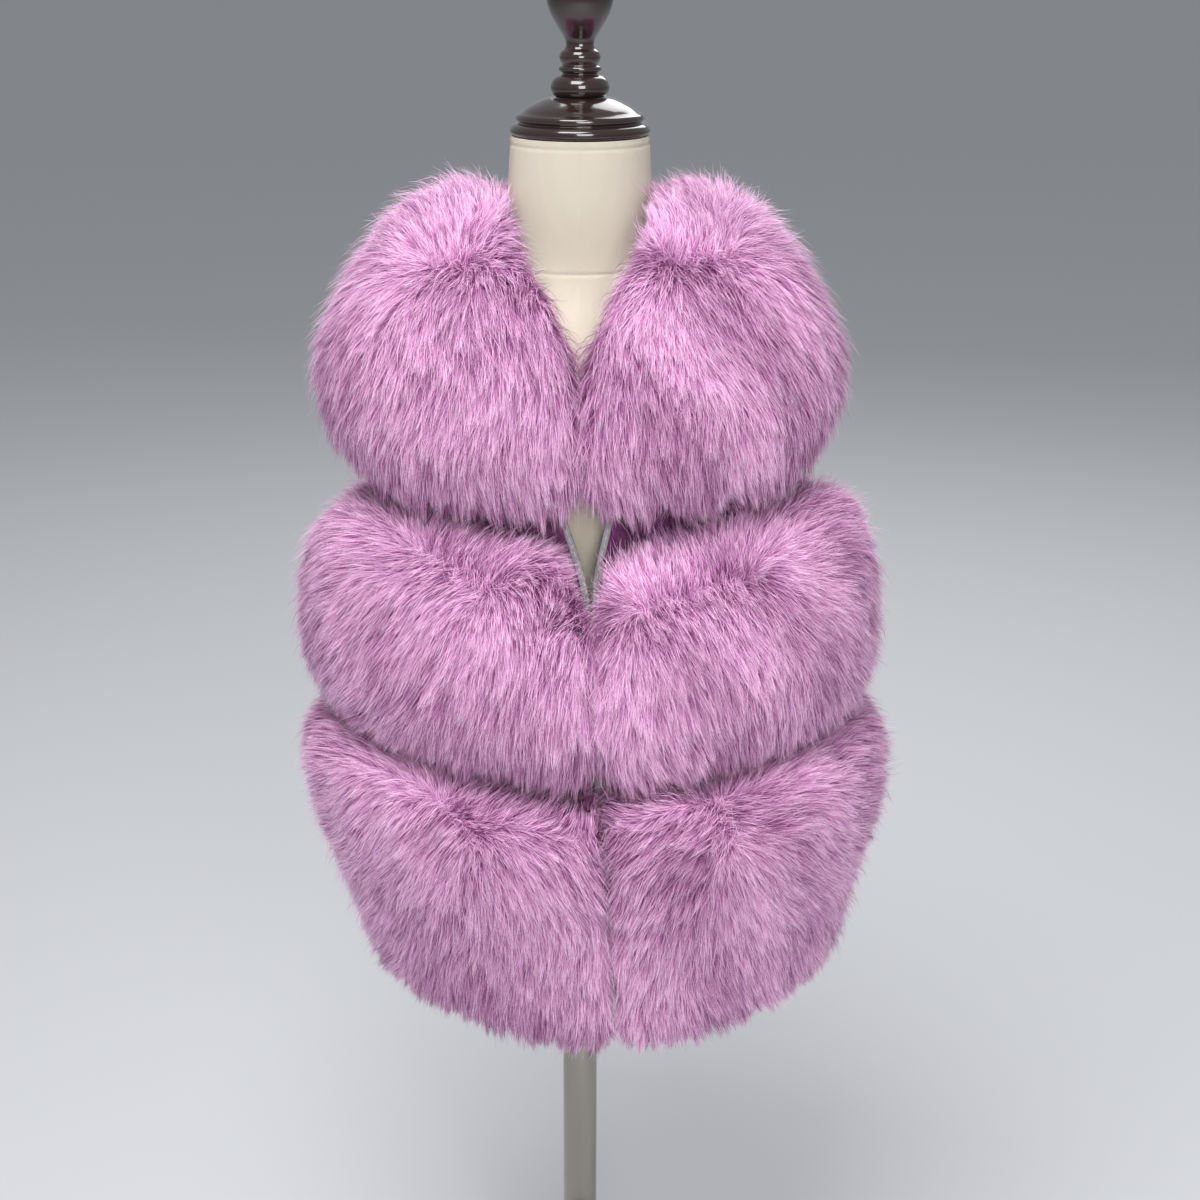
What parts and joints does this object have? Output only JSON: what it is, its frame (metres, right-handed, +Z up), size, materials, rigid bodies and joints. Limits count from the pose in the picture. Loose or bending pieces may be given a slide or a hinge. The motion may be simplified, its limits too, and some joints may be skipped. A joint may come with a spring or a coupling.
{
  "type": "fur gilet on a dress form",
  "caption": "Sleeveless open-front fur gilet with deep tiers of long hair over a suede bodice, worn by a limbless linen dress form with a turned finial, pole and round plate.",
  "frame": {"origin": "centre of the round plate's underside, on the axis of the pole", "axes": "+Z up along the pole, +X towards the wearer's left, the front of the gilet faces -Y"},
  "size_m": [0.4158, 0.3545, 1.0586],
  "materials": {
    "fur_orchid": "long soft fur, orchid pink with paler tips",
    "suede_purple": "deep purple suede, matte, short nap",
    "tape_white": "white woven tape, matte",
    "linen_cream": "cream plain-weave linen, matte",
    "wood_dark": "turned wood, near-black brown gloss lacquer",
    "chrome_steel": "polished chrome plate on steel"
  },
  "bodies": {
    "root": {"fur_top_left": "fur_orchid", "fur_top_right": "fur_orchid", "fur_top_back": "fur_orchid", "fur_middle_left": "fur_orchid", "fur_middle_right": "fur_orchid", "fur_middle_back": "fur_orchid", "fur_hem_left": "fur_orchid", "fur_hem_right": "fur_orchid", "fur_hem_back": "fur_orchid", "bodice_front_left": "suede_purple", "bodice_front_right": "suede_purple", "bodice_back": "suede_purple", "edge_tape_left": "tape_white", "edge_tape_right": "tape_white", "form_torso": "linen_cream", "neck_cap": "wood_dark", "finial": "wood_dark", "pole": "chrome_steel", "base_plate": "chrome_steel"}
  },
  "joints": []
}
